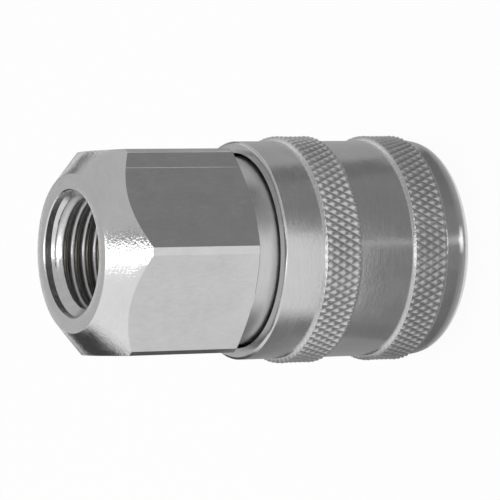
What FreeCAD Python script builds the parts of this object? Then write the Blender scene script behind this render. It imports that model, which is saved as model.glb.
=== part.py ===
# Quick coupling for compressed air, the socket half. It stands on its nose with the inlet thread up.
# Millimetres. The axis is Z and the origin is the centre of the nose face.
import FreeCAD, Part
import math
import os
import Sketcher

BALLS = 8
KNURLS = 86
WINDOWS = 3
CROSS_HOLES = 4
SEAT_HALF_ANGLE = math.radians(30.0)

SIZES = (
    # plug socket and locking balls
    ("socket_bore", 10.2, "bore that the plug slides in"),
    ("lead_in_bore", 10.6, "wider bore in front of the balls"),
    ("mouth_bevel", 0.8, "bevel at the mouth of the socket"),
    ("nose_bevel", 0.4, "bevel on the outer edge of the nose"),
    ("ball_diameter", 3.5, "locking ball"),
    ("ball_reach", 0.9, "how far a locked ball stands into the socket"),
    ("ball_proud", 0.1, "how far a locked ball stands out of the nose body"),
    ("ball_play", 0.05, "gap around a ball"),
    ("lead_in_gap", 0.2, "wall between the lead-in bore and the ball holes"),
    # snap ring and sleeve stop
    ("nose_proud", 0.2, "how far the nose body stands out of the sleeve"),
    ("ring_setback", 1.0, "nose face to the snap ring's groove"),
    ("ring_thickness", 0.9, "snap ring, along the axis"),
    ("ring_grip", 0.6, "depth of the snap ring's groove"),
    ("ring_height", 0.7, "how far the snap ring stands out of the nose body"),
    ("ring_play", 0.05, "gap around the snap ring"),
    ("ring_sweep", 320.0, "degrees that the snap ring runs round"),
    # sliding sleeve
    ("sleeve_travel", 2.5, "pull that frees the balls"),
    ("stop_gap", 0.29, "left between the pulled sleeve and the hexagon"),
    ("skirt_play", 0.3, "gap outside the snap ring"),
    ("lip_length", 1.15, "inner lip that meets the snap ring"),
    ("lip_play", 0.05, "sliding gap of the lip on the nose body"),
    ("lip_gap", 0.2, "left between the pulled lip and the balls"),
    ("land_lead", 0.3, "start of the locking land past the ball row"),
    ("land_length", 2.7, "locking land"),
    ("collar_gap", 0.35, "gap between the collar and the sleeve"),
    ("sleeve_wall", 1.3, "wall of the sleeve behind the land"),
    ("grip_proud", 0.075, "how far the grip bands stand out past the hexagon's corners"),
    ("grip_height", 0.59, "how far the grip bands stand out of the sleeve"),
    ("rim_length", 4.73, "smooth rim behind the rear grip band"),
    ("rear_grip_width", 4.62, "rear grip band"),
    ("front_grip_width", 4.4, "front grip band"),
    ("nose_length", 3.57, "smooth nose in front of the front grip band"),
    ("nose_round", 2.45, "rounding of the sleeve's nose"),
    ("grip_bevel", 0.42, "bevel on the front edge of a grip band"),
    ("edge_bevel", 0.15, "bevel on the other edges"),
    ("knurl_depth", 0.26, "depth of a knurl groove"),
    ("knurl_width", 1.0, "width of a knurl groove at the crest"),
    ("knurl_angle", 29.4, "degrees between a knurl groove and the axis"),
    # sleeve spring
    ("washer_thickness", 0.8, "thrust washer"),
    ("washer_play", 0.2, "gap inside the thrust washer"),
    ("washer_margin", 0.4, "thrust washer outside the sleeve spring"),
    ("sleeve_spring_length", 8.2, "sleeve spring as fitted"),
    ("sleeve_spring_play", 0.45, "gap inside the sleeve spring"),
    ("sleeve_spring_wire", 0.9, "wire of the sleeve spring"),
    ("sleeve_spring_turns", 4.5, "turns of the sleeve spring"),
    # nose body behind the balls
    ("spigot_step", 0.65, "how much wider the nose body is in the adapter"),
    ("spigot_length", 6.6, "nose body inside the adapter"),
    ("spigot_play", 0.05, "gap between the nose body and the adapter"),
    ("seal_setback", 4.0, "ball row to the plug seal's groove"),
    ("seal_cord", 1.7, "section of the plug seal"),
    ("seal_squeeze", 0.27, "how far the plug seal stands into the socket"),
    ("seal_room", 0.3, "groove wider than the seal"),
    ("seal_play", 0.02, "gap behind a seal"),
    ("seal_land", 1.9, "bore behind the plug seal"),
    ("adapter_seal_setback", 1.4, "adapter's end to the adapter seal's groove"),
    ("adapter_seal_cord", 0.96, "section of the adapter seal"),
    # valve
    ("seat_bore", 8.0, "bore through the valve seat"),
    ("seat_lip", 1.0, "straight length of the valve seat's bore"),
    ("seat_width", 1.2, "conical valve seat"),
    ("flow_gap", 0.7, "passage around the poppet"),
    ("valve_seal_cord", 1.0, "section of the valve seal"),
    ("valve_play", 0.05, "gap around the valve seal"),
    ("tube_play", 0.2, "gap around the poppet's tube"),
    ("tube_length", 3.2, "poppet's tube"),
    ("tube_wall", 0.9, "wall of the poppet's tube"),
    ("tube_end", 0.5, "closed end of the poppet's tube"),
    ("cross_hole", 1.6, "cross hole in the poppet's tube"),
    ("cross_hole_setback", 1.5, "tube's end to the cross holes"),
    ("flange_lap", 0.1, "how far the poppet's flange covers the seat"),
    ("flange_thickness", 1.52, "poppet's flange"),
    ("pilot_length", 1.0, "spring pilot on the poppet"),
    ("pilot_play", 0.4, "gap inside the valve spring"),
    ("stem_diameter", 2.8, "poppet's stem"),
    ("stem_play", 0.05, "gap around the stem"),
    ("stem_setback", 0.3, "stem's end to the guide's face"),
    ("valve_travel", 2.6, "push that opens the valve"),
    ("hub_gap", 0.4, "left between the open valve and the hub"),
    ("hub_wall", 1.05, "wall of the guide's hub"),
    ("web_depth", 1.0, "guide's web below its flange"),
    ("web_play", 0.2, "gap around the web"),
    ("guide_flange", 1.1, "guide's flange"),
    ("guide_play", 0.35, "gap around the guide's flange"),
    ("window_sweep", 84.0, "degrees that a window runs round"),
    ("window_margin", 0.3, "web left outside the valve spring"),
    ("valve_spring_diameter", 6.6, "valve spring, middle of the wire"),
    ("valve_spring_wire", 0.6, "wire of the valve spring"),
    ("valve_spring_turns", 4.5, "turns of the valve spring"),
    # adapter
    ("passage_bore", 10.4, "bore between the guide and the thread"),
    ("passage_length", 3.3, "length of that bore"),
    ("thread_bore", 11.89, "inside diameter of the inlet thread"),
    ("thread_length", 11.29, "threaded length"),
    ("recess_diameter", 13.7, "recess at the inlet's mouth"),
    ("recess_depth", 0.85, "depth of that recess"),
    ("mouth_edge", 0.12, "bevel at the edge of the recess"),
    ("inlet_rim", 1.72, "flat face around the recess"),
    ("across_flats", 22.0, "hexagon"),
    ("corner_cut", 0.237, "how much the hexagon's corners are turned down"),
    ("hex_length", 16.95, "hexagon with its bevels"),
    ("hex_bevel", 3.74, "bevel on the inlet side, along the axis"),
    ("hex_back_bevel", 0.59, "bevel on the sleeve side, along the axis"),
)


class Size:
    # A length and the expression that gives it, so sums of sizes stay bound to the sheet.
    def __init__(self, value, text):
        self.value = value
        self.text = text

    def joined(self, other, sign, value):
        return Size(value, f"({self.text} {sign} {other.text})")

    def __add__(self, other):
        return self.joined(other, "+", self.value + other.value)

    def __sub__(self, other):
        return self.joined(other, "-", self.value - other.value)

    def __mul__(self, other):
        return self.joined(other, "*", self.value * other.value)

    def __truediv__(self, other):
        return self.joined(other, "/", self.value / other.value)

    def times(self, factor):
        return Size(self.value * factor, f"({self.text} * {factor!r})")


def smaller(first, second):
    return Size(min(first.value, second.value), f"min({first.text}; {second.text})")


def half(size):
    return size.times(0.5)


doc = FreeCAD.newDocument("quick_coupling")
sheet = doc.addObject("Spreadsheet::Sheet", "sizes")
for row, (alias, value, note) in enumerate(SIZES, start=1):
    sheet.set(f"A{row}", note)
    sheet.set(f"B{row}", str(value))
    sheet.setAlias(f"B{row}", alias)
doc.recompute()


def size(alias):
    return Size(float(getattr(sheet, alias)), f"sizes.{alias}")


ZERO = Size(0.0, "0")


def bind(item, name, value):
    item.setExpression(name, value.text)


def new_body(label):
    body = doc.addObject("PartDesign::Body", label)
    body.Label = label
    return body


def new_sketch(body, name, role, height=None):
    # A sketch on one of the body's own planes, raised along the axis to a height.
    sketch = body.newObject("Sketcher::SketchObject", name)
    plane = [item for item in body.Origin.OriginFeatures if item.Role == role][0]
    sketch.AttachmentSupport = [(plane, "")]
    sketch.MapMode = "FlatFace"
    if height is not None:
        upward = {"XY_Plane": "z", "XZ_Plane": "y"}[role]
        bind(sketch, f"AttachmentOffset.Base.{upward}", height)
    return sketch


def place_point(rules, bound, line, axis, value):
    # One coordinate of a line's first point, measured from the origin, or laid on the axis if it is nothing.
    kind, datum_axis = (("DistanceX", -2), ("DistanceY", -1))[axis]
    if value.value == 0.0:
        rules.append(Sketcher.Constraint("PointOnObject", line, 1, datum_axis))
        return
    ends = (-1, 1, line, 1) if value.value > 0.0 else (line, 1, -1, 1)
    bound.append((len(rules), value if value.value > 0.0 else value.times(-1.0)))
    rules.append(Sketcher.Constraint(kind, *ends, abs(value.value)))


def draw_outline(sketch, points):
    # A closed outline of straight lines whose corners are all bound to the sheet.
    corners = [FreeCAD.Vector(across.value, along.value, 0.0) for across, along in points]
    following = corners[1:] + corners[:1]
    sketch.addGeometry([Part.LineSegment(a, b) for a, b in zip(corners, following)], False)
    count = len(points)
    rules = [Sketcher.Constraint("Coincident", i, 2, (i + 1) % count, 1) for i in range(count)]
    bound = []
    for line, (across, along) in enumerate(points):
        place_point(rules, bound, line, 0, across)
        place_point(rules, bound, line, 1, along)
    sketch.addConstraint(rules)
    for index, value in bound:
        bind(sketch, f"Constraints[{index}]", value)
    return sketch


def turn(body, name, points, sweep=None, cut=False, crosswise_at=None):
    # A turned form: an outline of (radius, height) corners swept round the axis. With crosswise_at it is
    # swept round a line that leaves the axis at that height, from (distance, radius) corners.
    sketch = draw_outline(new_sketch(body, name + "_outline", "XZ_Plane", crosswise_at), points)
    feature = body.newObject("PartDesign::Groove" if cut else "PartDesign::Revolution", name)
    feature.Profile = sketch
    feature.ReferenceAxis = (sketch, ["V_Axis" if crosswise_at is None else "H_Axis"])
    feature.Angle = 360.0
    if sweep is not None:
        bind(feature, "Angle", sweep)
    body.Tip = feature
    doc.recompute()
    return feature


def repeat_round(body, name, features, count):
    pattern = body.newObject("PartDesign::PolarPattern", name)
    pattern.Originals = features
    axis = [item for item in body.Origin.OriginFeatures if item.Role == "Z_Axis"][0]
    pattern.Axis = (axis, [""])
    pattern.Angle = 360.0
    pattern.Occurrences = count
    body.Tip = pattern
    doc.recompute()
    return pattern


def round_edge(body, name, radius, height, rounding):
    # Rounds the circular edge that lies at this radius and height.
    feature = body.Tip
    near = [
        f"Edge{number}"
        for number, edge in enumerate(feature.Shape.Edges, start=1)
        if isinstance(edge.Curve, Part.Circle)
        and math.isclose(edge.Curve.Radius, radius.value, abs_tol=1e-4)
        and math.isclose(edge.Curve.Center.z, height.value, abs_tol=1e-4)
    ]
    fillet = body.newObject("PartDesign::Fillet", name)
    fillet.Base = (feature, near)
    bind(fillet, "Radius", rounding)
    body.Tip = fillet
    doc.recompute()
    return fillet


def seal_ring(label, radius, section, height):
    ring = doc.addObject("Part::Torus", label)
    ring.Label = label
    bind(ring, "Radius1", radius)
    bind(ring, "Radius2", section)
    bind(ring, "Placement.Base.z", height)
    return ring


def spring(label, radius, wire, bottom, top, turns):
    # A compression spring with its two ends ground flat.
    body = new_body(label)
    sketch = new_sketch(body, label + "_wire", "XZ_Plane")
    sketch.addGeometry(Part.Circle(FreeCAD.Vector(radius.value, bottom.value, 0.0),
                                   FreeCAD.Vector(0.0, 0.0, 1.0), wire.value / 2.0), False)
    sketch.addConstraint([
        Sketcher.Constraint("DistanceX", -1, 1, 0, 3, radius.value),
        Sketcher.Constraint("DistanceY", -1, 1, 0, 3, bottom.value),
        Sketcher.Constraint("Radius", 0, wire.value / 2.0),
    ])
    for index, value in enumerate((radius, bottom, half(wire))):
        bind(sketch, f"Constraints[{index}]", value)
    coil = body.newObject("PartDesign::AdditiveHelix", label + "_coil")
    coil.Profile = sketch
    coil.ReferenceAxis = (sketch, ["V_Axis"])
    coil.Mode = "height-turns-angle"
    bind(coil, "Height", top - bottom)
    bind(coil, "Turns", turns)
    body.Tip = coil
    doc.recompute()
    reach = radius + wire
    for name, low, high in (("_foot", bottom - wire, bottom), ("_head", top, top + wire)):
        ground = [(ZERO, low), (reach, low), (reach, high), (ZERO, high)]
        turn(body, label + name, ground, cut=True)
    return body


# Radii that several pieces share
socket_r = half(size("socket_bore"))
ball_r = half(size("ball_diameter"))
ball_centre = socket_r - size("ball_reach") + ball_r
ball_out = ball_centre + ball_r
ball_travel = size("ball_reach") + size("ball_play")
hole_r = ball_r + size("ball_play")
body_r = ball_out - size("ball_proud")
ring_r = body_r + size("ring_height")
skirt_r = ring_r + size("skirt_play")
lip_r = body_r + size("lip_play")
land_r = ball_out + size("ball_play")
relief_r = land_r + ball_travel + size("ball_play")
spigot_r = body_r + size("spigot_step")
spigot_bore_r = spigot_r + size("spigot_play")
corner_r = size("across_flats").times(1.0 / math.sqrt(3.0))
turned_r = corner_r - size("corner_cut")
grip_r = turned_r + size("grip_proud")
sleeve_r = grip_r - size("grip_height")
sleeve_bore_r = sleeve_r - size("sleeve_wall")
collar_r = sleeve_bore_r - size("collar_gap")
sleeve_spring_r = body_r + size("sleeve_spring_play") + half(size("sleeve_spring_wire"))
seat_r = half(size("seat_bore"))
seat_top_r = seat_r + size("seat_width")
flange_r = seat_top_r + size("flange_lap")
chamber_r = flange_r + size("flow_gap")
stem_r = half(size("stem_diameter"))
passage_r = half(size("passage_bore"))
thread_r = half(size("thread_bore"))
recess_r = half(size("recess_diameter"))

# Heights, from the nose up
ring_bottom = size("ring_setback") + size("ring_play")
ring_top = ring_bottom + size("ring_thickness")
lip_bottom = ring_top + size("ring_play")
lip_top = lip_bottom + size("lip_length")
ball_row = lip_top + size("sleeve_travel") + ball_r + size("lip_gap")
cone_top = ball_row + size("land_lead")
land_top = cone_top + size("land_length")
washer_top = land_top + size("washer_thickness")
collar_end = washer_top + size("sleeve_spring_length")
body_end = collar_end + size("spigot_length")
guide_top = body_end + size("guide_flange")
thread_bottom = guide_top + size("passage_length")
thread_top = thread_bottom + size("thread_length")
recess_bottom = thread_top + recess_r - thread_r
inlet_face = recess_bottom + size("recess_depth")
hex_back = inlet_face - size("hex_length")
sleeve_back = hex_back - size("sleeve_travel") - size("stop_gap")
sleeve_front = size("nose_proud")

# Plug seal and its groove in the socket
seal_r = socket_r - size("seal_squeeze") + half(size("seal_cord"))
seal_groove_r = seal_r + half(size("seal_cord")) + size("seal_play")
seal_groove_bottom = ball_row + size("seal_setback")
seal_groove_top = seal_groove_bottom + size("seal_cord") + size("seal_room")
seal_height = half(seal_groove_bottom + seal_groove_top)
socket_end = seal_groove_top + size("seal_land")

# Adapter seal and its groove on the nose body
adapter_seal_r = spigot_bore_r - size("seal_play") - half(size("adapter_seal_cord"))
adapter_groove_r = adapter_seal_r - half(size("adapter_seal_cord")) - size("seal_play")
adapter_groove_bottom = collar_end + size("adapter_seal_setback")
adapter_groove_top = adapter_groove_bottom + size("adapter_seal_cord") + size("seal_room")
adapter_seal_height = half(adapter_groove_bottom + adapter_groove_top)

# Valve seat, and the seal that lies against its 45 degree cone
seat_bottom = socket_end + size("seat_lip")
seat_top = seat_bottom + size("seat_width")
valve_seal_section = half(size("valve_seal_cord"))
valve_seal_r = seat_r + size("valve_play")
seal_lift = (valve_seal_section + size("valve_play")).times(math.sqrt(2.0))
valve_seal_height = seat_bottom + size("valve_play") + seal_lift
tube_top = valve_seal_height - valve_seal_section - size("valve_play")
flange_bottom = valve_seal_height + valve_seal_section + size("valve_play")
flange_top = flange_bottom + size("flange_thickness")
web_bottom = body_end - size("web_depth")
valve_spring_r = half(size("valve_spring_diameter"))


def build_nose_body():
    body = new_body("nose_body")
    mouth_r = half(size("lead_in_bore")) + size("mouth_bevel")
    lead_in_r = half(size("lead_in_bore"))
    lead_in_end = ball_row - hole_r - size("lead_in_gap")
    ring_groove_r = body_r - size("ring_grip")
    turn(body, "nose_turning", [
        (mouth_r, ZERO),
        (body_r - size("nose_bevel"), ZERO),
        (body_r, size("nose_bevel")),
        (body_r, size("ring_setback")),
        (ring_groove_r, size("ring_setback")),
        (ring_groove_r, lip_bottom),
        (body_r, lip_bottom),
        (body_r, collar_end),
        (spigot_r, collar_end),
        (spigot_r, adapter_groove_bottom),
        (adapter_groove_r, adapter_groove_bottom),
        (adapter_groove_r, adapter_groove_top),
        (spigot_r, adapter_groove_top),
        (spigot_r, body_end),
        (chamber_r, body_end),
        (chamber_r, seat_top),
        (seat_top_r, seat_top),
        (seat_r, seat_bottom),
        (seat_r, socket_end),
        (socket_r, socket_end),
        (socket_r, seal_groove_top),
        (seal_groove_r, seal_groove_top),
        (seal_groove_r, seal_groove_bottom),
        (socket_r, seal_groove_bottom),
        (socket_r, lead_in_end),
        (lead_in_r, lead_in_end - lead_in_r + socket_r),
        (lead_in_r, size("mouth_bevel")),
    ])
    # A ball hole is straight outside and ends in a 60 degree cone that keeps its ball from falling inwards.
    seat_tip = ball_centre - hole_r.times(1.0 / math.sin(SEAT_HALF_ANGLE))
    hole = turn(body, "ball_hole", [
        (seat_tip, ZERO),
        (ball_out, ZERO),
        (ball_out, hole_r),
        (seat_tip + hole_r.times(1.0 / math.tan(SEAT_HALF_ANGLE)), hole_r),
    ], cut=True, crosswise_at=ball_row)
    repeat_round(body, "ball_holes", [hole], BALLS)
    return body


def build_balls():
    balls = []
    for number in range(BALLS):
        angle = 2.0 * math.pi * number / BALLS
        ball = doc.addObject("Part::Sphere", f"ball_{number + 1}")
        ball.Label = f"ball_{number + 1}"
        bind(ball, "Radius", ball_r)
        bind(ball, "Placement.Base.x", ball_centre.times(math.cos(angle)))
        bind(ball, "Placement.Base.y", ball_centre.times(math.sin(angle)))
        bind(ball, "Placement.Base.z", ball_row)
        balls.append(ball)
    return balls


def build_snap_ring():
    body = new_body("snap_ring")
    inner_r = body_r - size("ring_grip") + size("ring_play")
    turn(body, "ring_section", [
        (inner_r, ring_bottom),
        (ring_r, ring_bottom),
        (ring_r, ring_top),
        (inner_r, ring_top),
    ], sweep=size("ring_sweep"))
    return body


def knurl(body, name, middle, width):
    # V grooves that lean both ways across a grip band and leave a ring of raised diamonds.
    low = grip_r - size("knurl_depth")
    high = grip_r + size("knurl_depth")
    for hand, lean in (("_left", 1.0), ("_right", -1.0)):
        sketch = new_sketch(body, name + hand + "_outline", "XY_Plane", middle)
        leaning = FreeCAD.Rotation(FreeCAD.Vector(lean, 0.0, 0.0), size("knurl_angle").value)
        sketch.AttachmentOffset = FreeCAD.Placement(FreeCAD.Vector(0.0, 0.0, middle.value), leaning)
        bind(sketch, "AttachmentOffset.Rotation.Angle", size("knurl_angle"))
        draw_outline(sketch, [
            (low, ZERO),
            (high, size("knurl_width")),
            (high, size("knurl_width").times(-1.0)),
        ])
        groove = body.newObject("PartDesign::Pocket", name + hand)
        groove.Profile = sketch
        groove.Midplane = True
        bind(groove, "Length", width.times(2.0))
        body.Tip = groove
        doc.recompute()
        repeat_round(body, name + hand + "_row", [groove], KNURLS)


def build_sleeve():
    # The cone inside follows the balls: their outward travel over the sleeve's own travel.
    cone_bottom = cone_top - (relief_r - land_r) * size("sleeve_travel") / ball_travel
    edge = size("edge_bevel")
    rear_band_back = sleeve_back - size("rim_length")
    rear_band_front = rear_band_back - size("rear_grip_width")
    front_band_front = sleeve_front + size("nose_length")
    front_band_back = front_band_front + size("front_grip_width")
    body = new_body("locking_sleeve")
    turn(body, "sleeve_turning", [
        (skirt_r + edge, sleeve_front),
        (sleeve_r, sleeve_front),
        (sleeve_r, front_band_front),
        (grip_r, front_band_front + size("grip_bevel")),
        (grip_r, front_band_back - edge),
        (sleeve_r, front_band_back),
        (sleeve_r, rear_band_front),
        (grip_r, rear_band_front + size("grip_bevel")),
        (grip_r, rear_band_back - edge),
        (sleeve_r, rear_band_back),
        (sleeve_r, sleeve_back - edge),
        (sleeve_r - edge - edge, sleeve_back),
        (sleeve_bore_r, sleeve_back),
        (sleeve_bore_r, land_top),
        (land_r, land_top),
        (land_r, cone_top),
        (relief_r, cone_bottom),
        (relief_r, lip_top),
        (lip_r, lip_top),
        (lip_r, lip_bottom),
        (skirt_r, lip_bottom),
        (skirt_r, sleeve_front + edge),
    ])
    face = sleeve_r - skirt_r - edge - edge
    round_edge(body, "nose_rounding", sleeve_r, sleeve_front, smaller(size("nose_round"), face))
    knurl(body, "front_knurl", half(front_band_front + front_band_back), size("front_grip_width"))
    knurl(body, "rear_knurl", half(rear_band_front + rear_band_back), size("rear_grip_width"))
    return body


def build_thrust_washer():
    body = new_body("thrust_washer")
    inner_r = body_r + size("washer_play")
    outer_r = sleeve_spring_r + half(size("sleeve_spring_wire")) + size("washer_margin")
    turn(body, "washer_section", [
        (inner_r, land_top),
        (outer_r, land_top),
        (outer_r, washer_top),
        (inner_r, washer_top),
    ])
    return body


def build_valve_poppet():
    tube_r = seat_r - size("tube_play")
    tube_bore_r = tube_r - size("tube_wall")
    tube_bottom = tube_top - size("tube_length")
    tube_floor = tube_top - size("tube_end")
    neck_r = valve_seal_r - valve_seal_section - size("valve_play")
    pilot_r = valve_spring_r - half(size("valve_spring_wire")) - size("pilot_play")
    pilot_top = flange_top + size("pilot_length")
    stem_top = guide_top - size("stem_setback")
    body = new_body("valve_poppet")
    turn(body, "poppet_turning", [
        (tube_bore_r, tube_bottom),
        (tube_r, tube_bottom),
        (tube_r, tube_top),
        (neck_r, tube_top),
        (neck_r, flange_bottom),
        (flange_r, flange_bottom),
        (flange_r, flange_top),
        (pilot_r, flange_top),
        (pilot_r, pilot_top),
        (stem_r, pilot_top),
        (stem_r, stem_top),
        (ZERO, stem_top),
        (ZERO, tube_floor),
        (tube_bore_r, tube_floor),
    ])
    cross_hole_r = half(size("cross_hole"))
    hole = turn(body, "cross_hole", [
        (half(tube_bore_r), ZERO),
        (seat_r, ZERO),
        (seat_r, cross_hole_r),
        (half(tube_bore_r), cross_hole_r),
    ], cut=True, crosswise_at=tube_bottom + size("cross_hole_setback"))
    repeat_round(body, "cross_holes", [hole], CROSS_HOLES)
    return body


def build_valve_guide():
    hub_bottom = flange_top + size("pilot_length") + size("valve_travel") + size("hub_gap")
    hub_bore_r = stem_r + size("stem_play")
    hub_r = hub_bore_r + size("hub_wall")
    web_r = chamber_r - size("web_play")
    flange_edge_r = spigot_bore_r - size("guide_play")
    body = new_body("valve_guide")
    turn(body, "guide_turning", [
        (hub_bore_r, hub_bottom),
        (hub_r, hub_bottom),
        (hub_r, web_bottom),
        (web_r, web_bottom),
        (web_r, body_end),
        (flange_edge_r, body_end),
        (flange_edge_r, guide_top),
        (hub_bore_r, guide_top),
    ])
    window_inner_r = valve_spring_r + half(size("valve_spring_wire")) + size("window_margin")
    window = turn(body, "guide_window", [
        (window_inner_r, web_bottom - size("web_depth")),
        (passage_r, web_bottom - size("web_depth")),
        (passage_r, guide_top + size("guide_flange")),
        (window_inner_r, guide_top + size("guide_flange")),
    ], sweep=size("window_sweep"), cut=True)
    repeat_round(body, "guide_windows", [window], WINDOWS)
    return body


def build_adapter():
    flats_r = half(size("across_flats"))
    mouth = size("mouth_edge")
    body = new_body("hex_adapter")
    turn(body, "adapter_turning", [
        (spigot_bore_r, collar_end),
        (collar_r, collar_end),
        (collar_r, hex_back),
        (flats_r, hex_back),
        (turned_r, hex_back + size("hex_back_bevel")),
        (turned_r, inlet_face - size("hex_bevel")),
        (recess_r + size("inlet_rim"), inlet_face),
        (recess_r + mouth, inlet_face),
        (recess_r, inlet_face - mouth),
        (recess_r, recess_bottom),
        (thread_r, thread_top),
        (thread_r, thread_bottom),
        (passage_r, thread_bottom),
        (passage_r, guide_top),
        (spigot_bore_r, guide_top),
    ])
    # The six flats: all that lies outside the hexagon is cut away above the collar.
    sketch = new_sketch(body, "hexagon", "XY_Plane", hex_back)
    half_edge = half(corner_r)
    draw_outline(sketch, [
        (ZERO, corner_r),
        (flats_r.times(-1.0), half_edge),
        (flats_r.times(-1.0), half_edge.times(-1.0)),
        (ZERO, corner_r.times(-1.0)),
        (flats_r, half_edge.times(-1.0)),
        (flats_r, half_edge),
    ])
    rim = sketch.addGeometry(Part.Circle(FreeCAD.Vector(0.0, 0.0, 0.0), FreeCAD.Vector(0.0, 0.0, 1.0),
                                         2.0 * corner_r.value), False)
    sketch.addConstraint(Sketcher.Constraint("Coincident", rim, 3, -1, 1))
    rule = sketch.addConstraint(Sketcher.Constraint("Radius", rim, 2.0 * corner_r.value))
    bind(sketch, f"Constraints[{rule}]", corner_r.times(2.0))
    flats = body.newObject("PartDesign::Pocket", "flats")
    flats.Profile = sketch
    flats.Reversed = True
    bind(flats, "Length", size("hex_length"))
    body.Tip = flats
    doc.recompute()
    return body


pieces = [
    build_adapter(),
    build_nose_body(),
    build_sleeve(),
    build_snap_ring(),
    build_thrust_washer(),
    spring("sleeve_spring", sleeve_spring_r, size("sleeve_spring_wire"), washer_top, collar_end,
           size("sleeve_spring_turns")),
    seal_ring("plug_seal", seal_r, half(size("seal_cord")), seal_height),
    seal_ring("adapter_seal", adapter_seal_r, half(size("adapter_seal_cord")), adapter_seal_height),
    build_valve_poppet(),
    seal_ring("valve_seal", valve_seal_r, valve_seal_section, valve_seal_height),
    spring("valve_spring", valve_spring_r, size("valve_spring_wire"), flange_top, web_bottom,
           size("valve_spring_turns")),
    build_valve_guide(),
] + build_balls()
doc.recompute()

for item in doc.Objects:
    if "Invalid" in item.State or "Error" in item.State:
        raise RuntimeError(f"{item.Label} did not build: {item.State}")
for piece in pieces:
    if piece.Shape.isNull() or not piece.Shape.isValid() or len(piece.Shape.Solids) != 1:
        raise RuntimeError(f"{piece.Label} is not one sound solid")

os.makedirs("parts", exist_ok=True)
for piece in pieces:
    piece.Shape.exportStep(f"parts/{piece.Label}.step")
    print(f"{piece.Label}: {piece.Shape.Volume:.1f} mm3")
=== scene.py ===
import math

import bmesh
import bpy
import numpy as np
from mathutils import Matrix, Vector


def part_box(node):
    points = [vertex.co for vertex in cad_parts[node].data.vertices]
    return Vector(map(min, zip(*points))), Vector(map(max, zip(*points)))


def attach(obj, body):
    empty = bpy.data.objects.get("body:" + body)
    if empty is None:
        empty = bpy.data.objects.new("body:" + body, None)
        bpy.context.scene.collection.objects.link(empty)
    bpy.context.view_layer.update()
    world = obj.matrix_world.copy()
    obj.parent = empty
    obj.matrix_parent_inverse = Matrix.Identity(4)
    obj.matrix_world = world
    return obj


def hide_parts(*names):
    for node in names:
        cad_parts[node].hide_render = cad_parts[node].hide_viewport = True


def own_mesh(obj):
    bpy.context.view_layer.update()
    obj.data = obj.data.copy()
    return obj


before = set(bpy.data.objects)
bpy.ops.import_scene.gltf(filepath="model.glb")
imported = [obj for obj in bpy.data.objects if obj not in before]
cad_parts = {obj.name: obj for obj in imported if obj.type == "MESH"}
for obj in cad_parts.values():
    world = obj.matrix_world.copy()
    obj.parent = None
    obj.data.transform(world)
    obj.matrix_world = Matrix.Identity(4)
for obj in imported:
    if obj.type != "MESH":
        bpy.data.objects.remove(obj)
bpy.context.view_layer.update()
scene = bpy.context.scene
mm = 0.001
print("frame loaded:", len(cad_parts), "nodes")

# heights shared with the CAD pieces, in mm
sleeveFront, sleeveBack = (corner.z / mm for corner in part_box("locking_sleeve"))
collarEnd, inletFace = (corner.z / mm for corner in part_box("hex_adapter"))


# small helpers: every mesh is drawn in mm and brought to metres at the end
def addPiece(name, bm, materials, smoothAngle):
    bmesh.ops.recalc_face_normals(bm, faces=bm.faces[:])
    mesh = bpy.data.meshes.new(name)
    bm.to_mesh(mesh)
    bm.free()
    mesh.transform(Matrix.Scale(mm, 4))
    for material in materials:
        mesh.materials.append(material)
    mesh.shade_smooth()
    mesh.set_sharp_from_angle(angle=math.radians(smoothAngle))
    piece = bpy.data.objects.new(name, mesh)
    scene.collection.objects.link(piece)
    return piece


def smoothStep(t):
    t = min(max(t, 0.0), 1.0)
    return t * t * (3.0 - 2.0 * t)


def roundProfile(points, radius, steps=3, share=0.4):
    # softens the corners of an open (radius, height) line: an arc takes at most a share of each side
    out = [points[0]]
    for before, corner, after in zip(points, points[1:], points[2:]):
        c = Vector(corner)
        a, b = Vector(before) - c, Vector(after) - c
        reach = min(radius, share * a.length, share * b.length)
        start, end = c + a.normalized() * reach, c + b.normalized() * reach
        for i in range(steps + 1):
            t = i / steps
            p = start * (1 - t) ** 2 + c * 2 * t * (1 - t) + end * t ** 2
            out.append((p.x, p.y))
    out.append(points[-1])
    return out


# shader pieces
noiseLow, noiseHigh = 0.3, 0.7  # most of a noise lies between these
plainWhite = (1.0, 1.0, 1.0, 1.0)
finishMix = {
    "cloud": 0.6,               # what the mottling and the tool marks give to the tone
    "marks": 0.4,
    "grooveRough": 0.2,         # added roughness at the bottom of a groove
    "outward": 0.37,            # what a step outward adds to the way along a turned outline
}


def startMaterial(name):
    material = bpy.data.materials.new(name)
    material.use_nodes = True
    tree = material.node_tree
    tree.nodes.clear()
    output = tree.nodes.new("ShaderNodeOutputMaterial")
    shader = tree.nodes.new("ShaderNodeBsdfPrincipled")
    tree.links.new(shader.outputs["BSDF"], output.inputs["Surface"])
    return material, tree, shader


def addNode(tree, kind, **settings):
    node = tree.nodes.new(kind)
    for key, value in settings.items():
        if key.startswith("in_"):
            node.inputs[key.removeprefix("in_").replace("_", " ")].default_value = value
        else:
            setattr(node, key, value)
    return node


def mathNode(tree, operation, a, b=None):
    node = addNode(tree, "ShaderNodeMath", operation=operation)
    for socket, value in zip(node.inputs, (a, b)):
        if value is None:
            continue
        if isinstance(value, (int, float)):
            socket.default_value = value
        else:
            tree.links.new(value, socket)
    return node.outputs[0]


def spread(tree, value, low, high, fromLow=noiseLow, fromHigh=noiseHigh):
    node = addNode(tree, "ShaderNodeMapRange", in_From_Min=fromLow, in_From_Max=fromHigh,
                   in_To_Min=low, in_To_Max=high)
    tree.links.new(value, node.inputs["Value"])
    return node.outputs["Result"]


def noise(tree, vector, scale, detail=3.0, roughness=0.55):
    node = addNode(tree, "ShaderNodeTexNoise", in_Scale=scale, in_Detail=detail, in_Roughness=roughness)
    tree.links.new(vector, node.inputs["Vector"])
    return node.outputs["Fac"]


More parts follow.
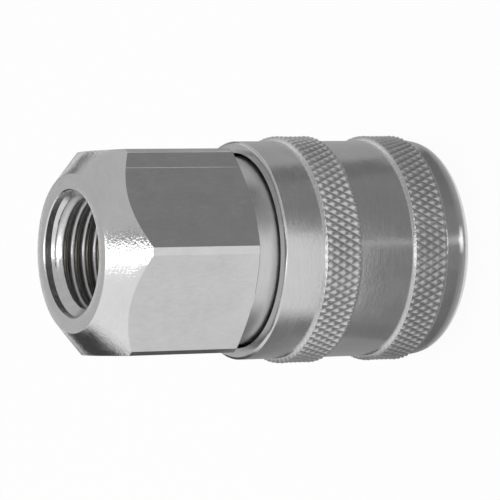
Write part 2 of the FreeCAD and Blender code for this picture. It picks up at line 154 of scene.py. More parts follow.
def stretched(tree, vector, scale):
    node = addNode(tree, "ShaderNodeMapping", in_Scale=scale)
    tree.links.new(vector, node.inputs["Vector"])
    return node.outputs["Vector"]


def lathePath(tree, place):
    # x and y as they are, and in place of z the way along the turned outline
    parts = addNode(tree, "ShaderNodeSeparateXYZ")
    tree.links.new(place, parts.inputs[0])
    x, y, z = parts.outputs
    radius = mathNode(tree, "SQRT", mathNode(tree, "ADD", mathNode(tree, "MULTIPLY", x, x),
                                             mathNode(tree, "MULTIPLY", y, y)))
    along = mathNode(tree, "ADD", z, mathNode(tree, "MULTIPLY", radius, finishMix["outward"]))
    joined = addNode(tree, "ShaderNodeCombineXYZ")
    for value, socket in zip((x, y, along), joined.inputs):
        tree.links.new(value, socket)
    return joined.outputs[0]


def bump(tree, height, depth, normal=None):
    node = addNode(tree, "ShaderNodeBump", in_Strength=1.0, in_Distance=depth)
    tree.links.new(height, node.inputs["Height"])
    if normal is not None:
        tree.links.new(normal, node.inputs["Normal"])
    return node.outputs["Normal"]


def metalFinish(name, look):
    # sizes in mm: cloud is the mottling, marks are tool marks, grain is the finest
    material, tree, shader = startMaterial(name)
    shader.inputs["Metallic"].default_value = 1.0
    place = addNode(tree, "ShaderNodeTexCoord").outputs["Object"]
    cloud = noise(tree, place, 1.0 / (look["cloud"] * mm), detail=4.0, roughness=0.6)
    speck = noise(tree, place, 1.0 / (look["grain"] * mm), detail=2.0, roughness=0.5)
    if look["marks"] == "round":        # lathe marks run round the axis
        path = stretched(tree, lathePath(tree, place), (1.0, 1.0, look["markStretch"]))
    else:                               # draw marks run along the bar
        path = stretched(tree, place, (1.0, 1.0, 1.0 / look["markStretch"]))
    marks = noise(tree, path, 1.0 / (look["markLength"] * mm), detail=2.0, roughness=0.6)
    mottle = mathNode(tree, "ADD", mathNode(tree, "MULTIPLY", cloud, finishMix["cloud"]),
                      mathNode(tree, "MULTIPLY", marks, finishMix["marks"]))

    tint = look.get("tint", (1.0, 1.0, 1.0))
    ramp = addNode(tree, "ShaderNodeValToRGB")
    low, high = look["tone"] - look["toneSpread"], look["tone"] + look["toneSpread"]
    ramp.color_ramp.elements[0].position = noiseLow
    ramp.color_ramp.elements[1].position = noiseHigh
    ramp.color_ramp.elements[0].color = (low * tint[0], low * tint[1], low * tint[2], 1.0)
    ramp.color_ramp.elements[1].color = (high * tint[0], high * tint[1], high * tint[2], 1.0)
    tree.links.new(mottle, ramp.inputs["Fac"])
    colour = ramp.outputs["Color"]
    rough = spread(tree, mottle, *look["rough"])

    if "groove" in look:                # painted shade: darker down in the grooves, and rougher there
        deep = addNode(tree, "ShaderNodeAttribute", attribute_name="grooveDepth").outputs["Fac"]
        shade = addNode(tree, "ShaderNodeMix", data_type="RGBA", blend_type="MULTIPLY")
        tree.links.new(deep, shade.inputs["Factor"])
        tree.links.new(colour, shade.inputs["A"])
        shade.inputs["B"].default_value = (look["groove"],) * 3 + (1.0,)
        colour = shade.outputs["Result"]
        rough = mathNode(tree, "ADD", rough, mathNode(tree, "MULTIPLY", deep, finishMix["grooveRough"]))

    tree.links.new(colour, shader.inputs["Base Color"])
    tree.links.new(rough, shader.inputs["Roughness"])
    normal = bump(tree, cloud, look["cloudDepth"] * mm)
    normal = bump(tree, marks, look["markDepth"] * mm, normal)
    normal = bump(tree, speck, look["grainDepth"] * mm, normal)
    tree.links.new(normal, shader.inputs["Normal"])
    return material


# the sliding sleeve, with its two knurled bands
sleeveLook = {
    "radius": 11.95,
    "gripRadius": 12.54,
    "gripBevel": 0.42,          # front edge of a band
    "edgeBevel": 0.15,          # back edge of a band, and the other edges
    "noseRound": 2.45,
    "noseFlat": 9.5,            # where the rounding starts on the nose face
    "noseLength": 3.57,         # smooth part in front of the front band
    "frontGripWidth": 4.4,
    "rearGripWidth": 4.62,
    "rimLength": 4.73,          # smooth part behind the rear band
    "edgeRound": 0.07,
    "skirtRadius": 8.6,         # inside, from the nose to the back
    "skirtDepth": 2.0,
    "lipRadius": 7.65,
    "reliefRadius": 8.75,
    "reliefFrom": 3.15,
    "reliefTo": 5.27,
    "landRadius": 7.75,
    "landFrom": 7.9,
    "shoulder": 10.6,
    "boreRadius": 10.65,
    "boreEdge": 0.06,
    "arcRows": 15,              # rows of points on the rounding, then on each smooth part
    "noseRows": 4,
    "middleRows": 10,
    "rimRows": 7,
    "smoothAngle": 40.0,
}
knurlLook = {
    "count": 86,                # diamonds round the sleeve
    "steps": 8,                 # columns to a diamond
    "depth": 0.26,
    "share": 0.63,              # half width of a groove, as a share of the pitch
    "angle": 29.4,
    "crestWear": 0.24,          # what the tips have lost, as a share of the depth
    "cornerShade": 0.4,         # painted shade on the step at the back of a band
    "hair": 0.001,              # keeps a row from falling to the one below when it is rounded
}
knurlTag = 1                    # place in the sleeve's list of metals
knurlStep = (2 * math.pi * sleeveLook["gripRadius"] / knurlLook["count"] / knurlLook["steps"]
             / math.tan(math.radians(knurlLook["angle"])))


def gripBand(start, width):
    end = start + width
    return {"start": start, "crestFrom": start + sleeveLook["gripBevel"],
            "crestTo": end - sleeveLook["edgeBevel"], "end": end, "middle": (start + end) / 2}


frontGrip = gripBand(sleeveFront + sleeveLook["noseLength"], sleeveLook["frontGripWidth"])
rearGrip = gripBand(sleeveBack - sleeveLook["rimLength"] - sleeveLook["rearGripWidth"],
                    sleeveLook["rearGripWidth"])

sleeveMetal = metalFinish("sleevePlate", {
    "tone": 0.6, "toneSpread": 0.05, "rough": (0.16, 0.26), "cloud": 4.0, "cloudDepth": 0.01,
    "marks": "round", "markStretch": 14.0, "markLength": 1.6, "markDepth": 0.004,
    "grain": 0.3, "grainDepth": 0.012})
# same plate as the sleeve, its tone set lighter as painted light; groove is the painted shade at the bottom
# of the grooves
knurlMetal = metalFinish("knurlPlate", {
    "tone": 0.8, "toneSpread": 0.05, "rough": (0.18, 0.32), "cloud": 2.0, "cloudDepth": 0.006,
    "marks": "round", "markStretch": 3.0, "markLength": 0.6, "markDepth": 0.006,
    "grain": 0.12, "grainDepth": 0.003, "groove": 0.5})


def gripRows(grip):
    # heights over a band, each with its place in the knurl pattern counted from the band's middle
    first = math.ceil((grip["crestFrom"] - grip["middle"]) / knurlStep)
    last = math.floor((grip["crestTo"] - grip["middle"]) / knurlStep)
    heights = [grip["start"], (grip["start"] + grip["crestFrom"]) / 2, grip["crestFrom"]]
    heights += [grip["middle"] + i * knurlStep for i in range(first, last + 1)]
    heights += [grip["crestTo"], (grip["crestTo"] + grip["end"]) / 2, grip["end"]]
    return [(z, (z - grip["middle"]) / knurlStep) for z in heights]


def grooveAt(column, row):
    # 1 at the bottom of a groove, least on the tip of a diamond
    steps = knurlLook["steps"]
    deep = knurlLook["crestWear"]
    for lane in ((column + row) % steps, (column - row) % steps):
        away = min(lane, steps - lane) / steps
        deep = max(deep, 1.0 - away / knurlLook["share"])
    return deep


def gripRadius(grip, z, column, row):
    look = sleeveLook
    envelope = float(np.interp(z, [grip["start"], grip["crestFrom"], grip["crestTo"], grip["end"]],
                               [look["radius"], look["gripRadius"], look["gripRadius"], look["radius"]]))
    aside = (z - grip["middle"]) * math.tan(math.radians(knurlLook["angle"]))
    runOut = aside ** 2 / (2 * look["gripRadius"])      # a straight cut runs out of a round band
    cut = look["gripRadius"] - knurlLook["depth"] * grooveAt(column, row) + runOut
    # the second value weights the painted shade: the groove's depth, and the painted corner shade on the
    # back step
    corner = knurlLook["cornerShade"] if grip["crestTo"] < z < grip["end"] else 0.0
    return min(envelope, cut), max(corner, (envelope - cut) / knurlLook["depth"])


def sleeveRows():
    # (radius, height, place in the knurl or None, band) all the way round the section
    look = sleeveLook
    foot, edge = look["radius"], look["edgeBevel"]
    bore, land, lip = look["boreRadius"], look["landRadius"], look["lipRadius"]
    relief, skirt = look["reliefRadius"], look["skirtRadius"]
    arc = [(look["noseFlat"] + look["noseRound"] * math.sin(a),
            sleeveFront + look["noseRound"] * (1 - math.cos(a)))
           for a in np.linspace(0, math.pi / 2, look["arcRows"])]
    plain = [(skirt + edge, sleeveFront)] + arc
    plain += [(foot, z) for z in np.linspace(arc[-1][1], frontGrip["start"], look["noseRows"])[1:-1]]
    rows = [(r, z, None, None) for r, z in plain]
    rows += [(foot, z, k, frontGrip) for z, k in gripRows(frontGrip)]
    middle = np.linspace(frontGrip["end"], rearGrip["start"], look["middleRows"])[1:-1]
    rows += [(foot, z, None, None) for z in middle]
    rows += [(foot, z, k, rearGrip) for z, k in gripRows(rearGrip)]
    rimEnd = sleeveBack - 2 * edge
    rows += [(foot, z, None, None) for z in np.linspace(rearGrip["end"], rimEnd, look["rimRows"])[1:-1]]
    back = [(foot, rimEnd), (foot, sleeveBack - edge), (foot - 2 * edge, sleeveBack),
            (bore + look["boreEdge"], sleeveBack), (bore, sleeveBack - look["boreEdge"]), (bore, rimEnd)]
    inside = [(bore, rearGrip["middle"]), (bore, look["shoulder"]), (land, look["shoulder"]),
              (land, look["landFrom"]), (relief, look["reliefTo"]), (relief, look["reliefFrom"]),
              (lip, look["reliefFrom"]), (lip, look["skirtDepth"]), (skirt, look["skirtDepth"]),
              (skirt, sleeveFront + edge)]
    rows += [(r, z, None, None) for r, z in roundProfile(back, look["edgeRound"]) + inside]
    return rows


def buildSleeve():
    rows = sleeveRows()
    count = len(rows)
    steps = knurlLook["steps"]
    columns = knurlLook["count"] * steps
    bm = bmesh.new()
    shadeLayer = bm.verts.layers.float.new("grooveDepth")
    grid = []
    for c in range(columns):
        turn = 2 * math.pi * c / columns
        column = []
        for r, z, k, grip in rows:
            deep = 0.0
            if grip is not None:
                r, deep = gripRadius(grip, z, c, k)
            vert = bm.verts.new((r * math.cos(turn), r * math.sin(turn), z))
            vert[shadeLayer] = deep
            column.append(vert)
        grid.append(column)
    for c in range(columns):
        here, there = grid[c], grid[(c + 1) % columns]
        for r in range(count):
            n = (r + 1) % count
            a, b, d, e = here[r], there[r], there[n], here[n]
            if rows[r][2] is None or rows[n][2] is None:
                bm.faces.new((a, b, d, e))
                continue
            k = math.floor(rows[r][2] + knurlLook["hair"])
            rising = min((c - k) % steps, (k - c) % steps)
            falling = min((c + k + 1) % steps, (-c - k - 1) % steps)
            if rising <= falling:       # the split follows the nearer groove
                pair = ((a, b, d), (a, d, e))
            else:
                pair = ((a, b, e), (b, d, e))
            for corners in pair:
                bm.faces.new(corners).material_index = knurlTag
    piece = addPiece("lockingSleeve", bm, [sleeveMetal, knurlMetal], sleeveLook["smoothAngle"])
    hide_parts("locking_sleeve")
    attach(piece, "sleeve")
    return piece


sleeve = buildSleeve()
print("sleeve:", len(sleeve.data.polygons), "faces")


# the hexagon with its collar and the inlet thread
hexLook = {
    "flatsRadius": 11.0,
    "cornerRadius": 12.465,
    "flatColumns": 26,
    "collarRadius": 10.3,
    "socketRadius": 8.3,
    "socketTop": 27.3,
    "back": inletFace - 16.95,
    "backBevel": 0.59,
    "coneLength": 3.74,
    "coneRadius": 8.57,
    "recessRadius": 6.85,
    "mouthEdge": 0.12,
    "passageRadius": 5.2,
    "edgeRound": 0.07,
    "edgeRow": 0.14,            # row of points next to an edge, keeps the shading flat up to it
    "collarRows": 4,
    "flatRows": 7,
    "coneRows": 5,
    "weld": 1e-5,               # points closer than this become one
    "sharpAngle": 15.0,         # edges past this angle are broken
    "offRecess": 0.05,          # but none this close to the recess or the back
    "offBack": 0.01,
    "smoothAngle": 22.0,
}
flatTag, turnedTag, threadTag, collarTag = range(4)     # places in the hexagon's list of metals
threadLook = {
    "pitch": 1.337,
    "insideRadius": 5.945,
    "rootRadius": 6.579,
    "rootFlat": 0.09,           # half of it
    "flankAngle": 27.5,
    "crestRound": 0.13,         # softness of the crest's edges
    "rootRound": 0.07,
    "crestShade": 0.4,          # painted shade inside, behind the mouth
    "rowsPerTurn": 26,
    "bottom": 30.6,
    "top": inletFace - 0.85,
    "start": 0.1,               # share of a turn at which the thread begins
    "runOut": 1.3,              # turns over which it ends
}
drawLine = {"side": 5, "offset": 4.0, "halfWidth": 0.06, "depth": 0.022}   # left on the bar by the die

hexFlatMetal = metalFinish("hexFlatPlate", {
    "tone": 0.6, "toneSpread": 0.04, "rough": (0.1, 0.18), "cloud": 2.5, "cloudDepth": 0.002,
    "marks": "along", "markStretch": 3.0, "markLength": 0.3, "markDepth": 0.0006,
    "grain": 0.3, "grainDepth": 0.0008})
hexTurnedMetal = metalFinish("hexTurnedPlate", {
    "tone": 0.66, "toneSpread": 0.03, "rough": (0.1, 0.18), "cloud": 2.5, "cloudDepth": 0.004,
    "marks": "round", "markStretch": 12.0, "markLength": 1.4, "markDepth": 0.0015,
    "grain": 0.22, "grainDepth": 0.032})
collarMetal = metalFinish("collarPlate", {
    "tone": 0.6, "toneSpread": 0.06, "rough": (0.26, 0.38), "cloud": 3.0, "cloudDepth": 0.012,
    "marks": "round", "markStretch": 14.0, "markLength": 1.6, "markDepth": 0.005,
    "grain": 0.3, "grainDepth": 0.004})
# groove is the painted shade at the bottom of the thread's grooves
threadMetal = metalFinish("threadPlate", {
    "tone": 0.62, "toneSpread": 0.06, "rough": (0.16, 0.3), "cloud": 1.2, "cloudDepth": 0.006,
    "marks": "round", "markStretch": 6.0, "markLength": 0.8, "markDepth": 0.006,
    "grain": 0.2, "grainDepth": 0.006, "groove": 0.32})


def softEdge(value, softness):
    # nothing below zero and the value above it, with a rounded bend between
    return softness * math.log1p(math.exp(value / softness))


def threadRadius(phase, z):
    look = threadLook
    depth = look["rootRadius"] - look["insideRadius"]
    away = abs(phase - 0.5) * look["pitch"] - look["rootFlat"]
    flank = depth - away / math.tan(math.radians(look["flankAngle"]))
    runOut = smoothStep((z - look["bottom"]) / (look["runOut"] * look["pitch"]))
    cut = (softEdge(flank, look["crestRound"]) - softEdge(flank - depth, look["rootRound"])) * runOut
    leadIn = max(0.0, z - look["top"] + hexLook["recessRadius"] - look["insideRadius"])
    # the second value weights the painted shade: the groove's depth, and crestShade inside the bore
    crest = look["crestShade"] if leadIn == 0.0 else 0.0
    return look["insideRadius"] + max(cut, leadIn), max(crest, (cut - leadIn) / depth)


def hexAngles():
    # (turn, lean from the middle of the flat, dent) for every column
    look = hexLook
    edge = math.acos(look["flatsRadius"] / look["cornerRadius"])
    plain = [(lean, 0.0) for lean in np.linspace(-edge, edge, look["flatColumns"] + 1)]
    plain.append((math.pi / 6, 0.0))
    line = [(math.atan((drawLine["offset"] + i * drawLine["halfWidth"]) / look["flatsRadius"]),
             drawLine["depth"] * (i == 0)) for i in (-1, 0, 1)]
    columns = []
    for side in range(6):
        leans = sorted(plain + line) if side == drawLine["side"] else plain
        columns += [(side * math.pi / 3 + lean, lean, dent) for lean, dent in leans]
    return columns


def threadShare(turn):
    return (turn / (2 * math.pi) + threadLook["start"]) % 1.0


def hexColumn(turn, lean, dent, threadRows):
    # (radius, height, material, weight of the painted shade) from the collar's end round to the socket
    look, thread = hexLook, threadLook
    reach = min((look["flatsRadius"] - dent) / math.cos(lean), look["cornerRadius"])
    coneSlope = look["coneLength"] / (look["cornerRadius"] - look["coneRadius"])
    backSlope = look["backBevel"] / (look["cornerRadius"] - look["flatsRadius"])
    back = look["back"] + max(0.0, reach - look["flatsRadius"]) * backSlope
    front = inletFace - (reach - look["coneRadius"]) * coneSlope
    collar, recess, passage = look["collarRadius"], look["recessRadius"], look["passageRadius"]
    outline = [(look["socketRadius"], collarEnd, collarTag)]
    outline += [(collar, z, collarTag)
                for z in np.linspace(collarEnd, look["back"], look["collarRows"])[:-1]]
    outline += [(collar, look["back"], turnedTag), (look["flatsRadius"] - dent, look["back"], turnedTag)]
    near = look["edgeRow"]
    heights = [back, back + near, *np.linspace(back, front, look["flatRows"])[1:-1], front - near]
    outline += [(reach, z, flatTag) for z in heights]
    outline += [(r, inletFace - (r - look["coneRadius"]) * coneSlope, turnedTag)
                for r in np.linspace(reach, look["coneRadius"], look["coneRows"])]
    outline += [(recess + look["mouthEdge"], inletFace, turnedTag),
                (recess, inletFace - look["mouthEdge"], threadTag)]
    column = [(r, z, tag, 0.0) for r, z, tag in outline]
    for j in range(threadRows, -1, -1):
        z = thread["bottom"] + (j / thread["rowsPerTurn"] - 1.0 + threadShare(turn)) * thread["pitch"]
        z = min(max(z, thread["bottom"]), thread["top"])
        r, deep = threadRadius((j % thread["rowsPerTurn"]) / thread["rowsPerTurn"], z)
        column.append((r, z, threadTag, deep))
    column += [(passage, thread["bottom"], threadTag, 0.0), (passage, look["socketTop"], threadTag, 0.0),
               (look["socketRadius"], look["socketTop"], threadTag, 0.0)]
    return column, len(outline)


def breakEdges(bm):
    # the sharp outer edges are broken, as plating leaves them
    look = hexLook
    inner, lower = look["recessRadius"] + look["offRecess"], look["back"] + look["offBack"]
    bend = math.radians(look["sharpAngle"])
    sharp = []
    for edge in bm.edges:
        middle = (edge.verts[0].co + edge.verts[1].co) / 2
        outside = middle.xy.length > inner and middle.z > lower
        if outside and edge.is_manifold and edge.calc_face_angle_signed() > bend:
            sharp.append(edge)
    bmesh.ops.bevel(bm, geom=sharp, offset=look["edgeRound"], segments=2, profile=0.5, affect="EDGES",
                    clamp_overlap=True)


def buildHex():
    perTurn = threadLook["rowsPerTurn"]
    turns = math.ceil((threadLook["top"] - threadLook["bottom"]) / threadLook["pitch"]) + 1
    threadRows = turns * perTurn
    angles = sorted(hexAngles(), key=lambda place: threadShare(place[0]))
    bm = bmesh.new()
    shadeLayer = bm.verts.layers.float.new("grooveDepth")
    grid = []
    for turn, lean, dent in angles:
        column, first = hexColumn(turn, lean, dent, threadRows)
        tags = [tag for r, z, tag, deep in column]
        verts = []
        for r, z, tag, deep in column:
            vert = bm.verts.new((r * math.cos(turn), r * math.sin(turn), z))
            vert[shadeLayer] = deep
            verts.append(vert)
        grid.append(verts)
    count = len(tags)
    for c in range(len(angles)):
        here, there = grid[c], grid[(c + 1) % len(angles)]
        seam = c == len(angles) - 1     # where a turn of the thread is complete
        for r in range(count):
            n = (r + 1) % count
            back = 0
            if seam and first <= r < first + threadRows:
                back = perTurn
                if r - back < first:
                    continue
            corners = (here[r], there[r - back], there[n - back], here[n])
            bm.faces.new(corners).material_index = tags[r]
    bmesh.ops.remove_doubles(bm, verts=bm.verts[:], dist=hexLook["weld"])
    bmesh.ops.recalc_face_normals(bm, faces=bm.faces[:])
    breakEdges(bm)
    metals = [hexFlatMetal, hexTurnedMetal, threadMetal, collarMetal]
    piece = addPiece("hexAdapter", bm, metals, hexLook["smoothAngle"])
    even = piece.modifiers.new("evenNormals", "WEIGHTED_NORMAL")
    even.keep_sharp = True
    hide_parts("hex_adapter")
    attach(piece, "coupling_body")
    return piece


hexPiece = buildHex()
print("hexagon:", len(hexPiece.data.polygons), "faces")


# the two springs, with closed and ground ends
sleeveSpringLook = {
    "meanRadius": 8.5,
    "wire": 0.9,
    "turns": 5.5,
    "closed": 0.9,              # turns of an end that lie on each other
    "ground": 0.35,             # what is left of the wire's half at the ends
    "travel": 2.5,
}
valveSpringLook = {
    "meanRadius": 3.3,
    "wire": 0.6,
    "turns": 5.5,
    "closed": 0.9,
    "ground": 0.35,
    "travel": 2.6,
}
springSteps = {"perTurn": 72, "around": 14, "clear": 0.01, "smoothAngle": 40.0}

springMetal = metalFinish("springWire", {
    "tone": 0.5, "toneSpread": 0.04, "rough": (0.2, 0.34), "cloud": 2.0, "cloudDepth": 0.002,
    "marks": "round", "markStretch": 4.0, "markLength": 0.5, "markDepth": 0.002,
    "grain": 0.1, "grainDepth": 0.001})


def buildSpring(name, look, node):
    bottom, top = (corner.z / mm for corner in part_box(node))
    bottom += springSteps["clear"]
    perTurn, around = springSteps["perTurn"], springSteps["around"]
    half = look["wire"] / 2
    low, high = bottom + half * look["ground"], top - half * look["ground"]
    lift = (look["wire"] + springSteps["clear"]) * look["closed"]
    stations = [0.0, look["closed"], look["turns"] - look["closed"], look["turns"]]
    bm = bmesh.new()
    rings = []
    for i in range(int(look["turns"] * perTurn) + 1):
        turn = i / perTurn
        z = np.interp(turn, stations, [low, low + lift, high - lift, high])
        angle = 2 * math.pi * turn
        ring = []
        for k in range(around):
            a = 2 * math.pi * k / around
            r = look["meanRadius"] + half * math.cos(a)
            height = min(max(z + half * math.sin(a), bottom), top)
            ring.append(bm.verts.new((r * math.cos(angle), r * math.sin(angle), height)))
        rings.append(ring)
    for ring, after in zip(rings, rings[1:]):
        for k in range(around):
            m = (k + 1) % around
            bm.faces.new((ring[k], ring[m], after[m], after[k]))
    bm.faces.new(rings[0][::-1])
    bm.faces.new(rings[-1])
    piece = addPiece(name, bm, [springMetal], springSteps["smoothAngle"])
    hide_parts(node)
    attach(piece, "coupling_body")
    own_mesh(piece)


buildSpring("sleeveSpring", sleeveSpringLook, "sleeve_spring")
buildSpring("valveSpring", valveSpringLook, "valve_spring")
print("springs wound")


# finishes of the pieces that keep their CAD shape
turnedMetal = metalFinish("turnedSteel", {
    "tone": 0.56, "toneSpread": 0.03, "rough": (0.16, 0.28), "cloud": 3.0, "cloudDepth": 0.002,
    "marks": "round", "markStretch": 16.0, "markLength": 1.2, "markDepth": 0.002,
    "grain": 0.12, "grainDepth": 0.0008})
brassMetal = metalFinish("turnedBrass", {
    "tone": 0.72, "toneSpread": 0.04, "tint": (1.0, 0.83, 0.54), "rough": (0.2, 0.32), "cloud": 3.0,
    "cloudDepth": 0.002, "marks": "round", "markStretch": 14.0, "markLength": 1.0, "markDepth": 0.002,
    "grain": 0.12, "grainDepth": 0.001})
ballMetal = metalFinish("ballSteel", {
    "tone": 0.66, "toneSpread": 0.02, "rough": (0.05, 0.1), "cloud": 1.5, "cloudDepth": 0.0006,
    "marks": "round", "markStretch": 2.0, "markLength": 0.5, "markDepth": 0.0002,
    "grain": 0.1, "grainDepth": 0.0001})


def rubberFinish(name, look):
    material, tree, shader = startMaterial(name)
    place = addNode(tree, "ShaderNodeTexCoord").outputs["Object"]
    cloud = noise(tree, place, look["cloudScale"], detail=4.0)
    grain = noise(tree, place, look["grainScale"], detail=2.0)
    ramp = addNode(tree, "ShaderNodeValToRGB")
    ramp.color_ramp.elements[0].color = look["dark"]
    ramp.color_ramp.elements[1].color = look["light"]
    tree.links.new(cloud, ramp.inputs["Fac"])
    tree.links.new(ramp.outputs["Color"], shader.inputs["Base Color"])
    tree.links.new(spread(tree, cloud, *look["rough"]), shader.inputs["Roughness"])
    tree.links.new(bump(tree, grain, look["grainDepth"] * mm), shader.inputs["Normal"])
    return material


sealRubber = rubberFinish("sealRubber", {
    "dark": (0.012, 0.012, 0.012, 1.0), "light": (0.03, 0.03, 0.031, 1.0), "rough": (0.5, 0.7),
    "cloudScale": 900.0, "grainScale": 9000.0, "grainDepth": 0.004})
ballCount = 8
nodeFinish = {
    "nose_body": turnedMetal, "snap_ring": springMetal, "thrust_washer": turnedMetal,
    "valve_guide": brassMetal, "valve_poppet": brassMetal,
    "plug_seal": sealRubber, "adapter_seal": sealRubber, "valve_seal": sealRubber,
}
nodeFinish.update({"ball_%d" % i: ballMetal for i in range(1, ballCount + 1)})
for node, finish in nodeFinish.items():
    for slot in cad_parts[node].material_slots:
        slot.material = finish
print("finishes given to", len(nodeFinish), "CAD pieces")


# white floor and sky: white to the camera and in the metal, and the floor keeps a soft shadow
floorLook = {
    "size": 3.0,
    "paper": 0.92,
    "glow": 0.94,               # share of plain white in what is seen of it
}
skyLight = 0.6                  # strength of the sky where it isn't seen


def seenRay(tree):
    rays = addNode(tree, "ShaderNodeLightPath")
    mirrored = mathNode(tree, "MAXIMUM", rays.outputs["Is Glossy Ray"], rays.outputs["Is Transmission Ray"])
    return mathNode(tree, "MAXIMUM", rays.outputs["Is Camera Ray"], mirrored)


def startStage(name, verts, faces):
    mesh = bpy.data.meshes.new(name)
    mesh.from_pydata(verts, [], faces)
    card = bpy.data.objects.new(name, mesh)
    scene.collection.objects.link(card)
    material = bpy.data.materials.new(name + "Paper")
    material.use_nodes = True
    tree = material.node_tree
    tree.nodes.clear()
    mesh.materials.append(material)
    return card, tree, tree.nodes.new("ShaderNodeOutputMaterial")


def whiteFloor(look):
    size = look["size"]
    corners = [(-size, -size, 0), (size, -size, 0), (size, size, 0), (-size, size, 0)]
    _, tree, output = startStage("floor", corners, [(0, 1, 2, 3)])
    paper = addNode(tree, "ShaderNodeBsdfDiffuse", in_Color=(look["paper"],) * 3 + (1.0,))
    white = addNode(tree, "ShaderNodeEmission", in_Color=plainWhite, in_Strength=1.0)
    mix = tree.nodes.new("ShaderNodeMixShader")
    tree.links.new(mathNode(tree, "MULTIPLY", seenRay(tree), look["glow"]), mix.inputs["Fac"])
    tree.links.new(paper.outputs["BSDF"], mix.inputs[1])
    tree.links.new(white.outputs["Emission"], mix.inputs[2])
    tree.links.new(mix.outputs["Shader"], output.inputs["Surface"])


def whiteWorld(level):
    world = bpy.data.worlds.new("studio")
    scene.world = world
    world.use_nodes = True
    tree = world.node_tree
    tree.nodes.clear()
    output = tree.nodes.new("ShaderNodeOutputWorld")
    back = addNode(tree, "ShaderNodeBackground", in_Color=plainWhite)
    strength = spread(tree, seenRay(tree), level, 1.0, fromLow=0.0, fromHigh=1.0)
    tree.links.new(strength, back.inputs["Strength"])
    tree.links.new(back.outputs["Background"], output.inputs["Surface"])


whiteFloor(floorLook)
whiteWorld(skyLight)

# grey cards round the object give the metal its dark bands: they only show in the metal
# azimuths are in degrees from the camera's side towards +X
matLook = {
    # lying on the floor: radius from, to in mm, azimuth from, to, grey or the greys it fades between
    "nearLower": (11.6, 41.0, -80, 1.5, 0.29),
    "nearUpper": (11.6, 44.0, 6.5, 30, 0.27),
    "upperSide": (11.6, 170.0, 27, 77, 0.285),
    "topSide": (11.6, 170.0, 77, 180, 0.45),
    "topPaper": (62.0, 170.0, 82, 106, 0.85),
    "lowerSide": (11.6, 170.0, -180, -73, 0.25),
    "lowerPaper": (60.0, 170.0, -75, -38, 0.88),
    "noseSlot": (11.6, 22.0, 1.5, 6.5, 0.6),
    "bandSlot": (22.0, 44.0, 1.5, 6.5, 0.55),
    "rimUpper": (44.0, 61.0, 21, 28, 0.285),
    "rimUpperFade": (44.0, 61.0, 10, 21, 1.0, 0.285),
    "rimLowerFade": (41.0, 60.0, -73, -57, 0.25, 1.0),
    "upperDark": (24.0, 61.0, 68, 88, 0.22),
    "lowerLight": (20.0, 46.0, -180, -92, 0.36),
    "lowerEdge": (62.0, 110.0, -128, -98, 0.13),
    "noseUpper": (11.6, 12.5, 0, 77, 0.36, 0.58),
    "noseUpperFar": (12.5, 13.6, 0, 77, 0.3, 0.42),
    "noseLower": (11.6, 12.5, -80, 0, 0.58, 0.42),
    "noseLowerFar": (12.5, 13.6, -80, 0, 0.38, 0.34),
    "noseUpperDark": (13.6, 17.0, 25, 77, 0.25, 0.18),
    "noseLowerDark": (13.6, 17.0, -80, -15, 0.18, 0.25),
    "noseUpperEnd": (11.6, 12.5, 77, 100, 0.58, 0.45),
    "noseUpperFarEnd": (12.5, 13.6, 77, 100, 0.42, 0.45),
    "noseUpperDarkEnd": (13.6, 17.0, 77, 83, 0.18, 0.45),
    "noseLowerEnd": (11.6, 12.5, -103, -80, 0.25, 0.42),
    "noseLowerFarEnd": (12.5, 13.6, -103, -80, 0.25, 0.34),
    "noseLowerDarkEnd": (13.6, 17.0, -103, -80, 0.25, 0.18),
    "noseGlintUpper": (12.1, 13.2, 5, 12, 1.6, 0.4),
    "noseGlint": (12.1, 13.6, 2, 5, 1.6),
    "noseGlintLower": (12.1, 13.2, -5, 2, 0.4, 1.6),
}
wallLook = {
    # standing round the hexagon's cone: azimuth from, to, height angle from, to, grey
    "rightWall": (30, 145, 4, 76, 0.6),
    "lampEdge": (8.5, 31, 48, 80, 0.26),
    "backWall": (155, 205, 14, 53, 0.57),
    "cornerWall": (154, 175, -8, 14, 0.4),
    "darkPostUpper": (145, 154, -6, 14, 0.16),
    "darkPostLower": (-162, -123, -12, 26, 0.07),
}
matLift = 0.00003               # each mat lies this much above the one before
wallDistance = 0.22
wallMiddle = inletFace * mm
cardSteps = {"mat": 40, "wallAround": 25, "wallUp": 9}


def greyCard(name, grid, greys):
    columns, rows = len(grid), len(grid[0])
    verts = [p for column in grid for p in column]
    faces = [(c * rows + r, (c + 1) * rows + r, (c + 1) * rows + r + 1, c * rows + r + 1)
             for c in range(columns - 1) for r in range(rows - 1)]
    card, tree, output = startStage(name, verts, faces)
    for kind in ("camera", "diffuse", "shadow", "transmission"):
        setattr(card, "visible_" + kind, False)
    tones = np.linspace(greys[0], greys[-1], columns).repeat(rows)
    card.data.attributes.new("grey", "FLOAT", "POINT").data.foreach_set("value", tones)
    glow = addNode(tree, "ShaderNodeEmission", in_Color=plainWhite)
    tone = addNode(tree, "ShaderNodeAttribute", attribute_name="grey")
    tree.links.new(tone.outputs["Fac"], glow.inputs["Strength"])
    tree.links.new(glow.outputs["Emission"], output.inputs["Surface"])


def matPoint(radius, az, height):
    return radius * mm * math.sin(az), -radius * mm * math.cos(az), height


def wallPoint(az, el):
    out = wallDistance * math.cos(el)
    return out * math.sin(az), -out * math.cos(az), wallMiddle + wallDistance * math.sin(el)


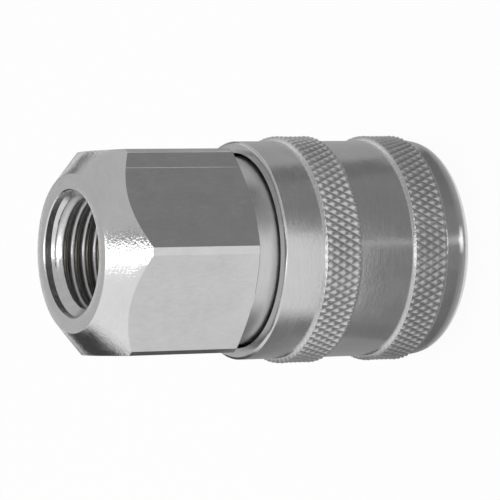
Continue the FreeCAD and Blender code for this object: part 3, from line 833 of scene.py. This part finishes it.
for number, (name, (near, far, azFrom, azTo, *greys)) in enumerate(matLook.items(), start=1):
    turns = np.radians(np.linspace(azFrom, azTo, cardSteps["mat"]))
    greyCard(name, [[matPoint(r, az, number * matLift) for r in (near, far)] for az in turns], greys)
for name, (azFrom, azTo, elFrom, elTo, *greys) in wallLook.items():
    turns = np.radians(np.linspace(azFrom, azTo, cardSteps["wallAround"]))
    rises = np.radians(np.linspace(elFrom, elTo, cardSteps["wallUp"]))
    greyCard(name, [[wallPoint(az, el) for el in rises] for az in turns], greys)


lampLook = {
    # place, aim and size in metres, power in watts
    "overheadStrip": ((-0.002, 0.02, 0.45), (-0.002, 0.0, 0.02), (0.088, 0.5), 0.53),
    "overheadGlow": ((-0.061, 0.02, 0.45), (-0.061, 0.0, 0.02), (0.03, 0.5), 0.06),
}


def areaLamp(name, place, aim, size, power):
    data = bpy.data.lights.new(name, "AREA")
    data.shape = "RECTANGLE"
    data.size, data.size_y = size
    data.energy = power
    lamp = bpy.data.objects.new(name, data)
    lamp.location = Vector(place)
    lamp.rotation_euler = (Vector(aim) - Vector(place)).to_track_quat("-Z", "Y").to_euler()
    scene.collection.objects.link(lamp)
    lamp.visible_camera = False


for name, settings in lampLook.items():
    areaLamp(name, *settings)
print("stage set")


# camera, from the outline of the object in the photograph
cameraLook = {
    "lens": 278.48,
    "sensor": 36.0,
    "clip": (0.01, 20.0),       # metres
    "place": (-1.932, -375.220, 219.626),       # mm
    "forward": (0.004634, 0.884740, -0.466063),
    "up": (0.999751, -0.014264, -0.017136),
}


def placeCamera(look):
    data = bpy.data.cameras.new("camera")
    data.lens = look["lens"]
    data.sensor_width = look["sensor"]
    data.clip_start, data.clip_end = look["clip"]
    camera = bpy.data.objects.new("camera", data)
    scene.collection.objects.link(camera)
    back = -Vector(look["forward"]).normalized()
    right = Vector(look["up"]).cross(back).normalized()
    up = back.cross(right)
    turn = Matrix((right, up, back)).transposed().to_4x4()
    camera.matrix_world = Matrix.Translation(Vector(look["place"]) * mm) @ turn
    scene.camera = camera


placeCamera(cameraLook)
scene.view_settings.view_transform = "Standard"
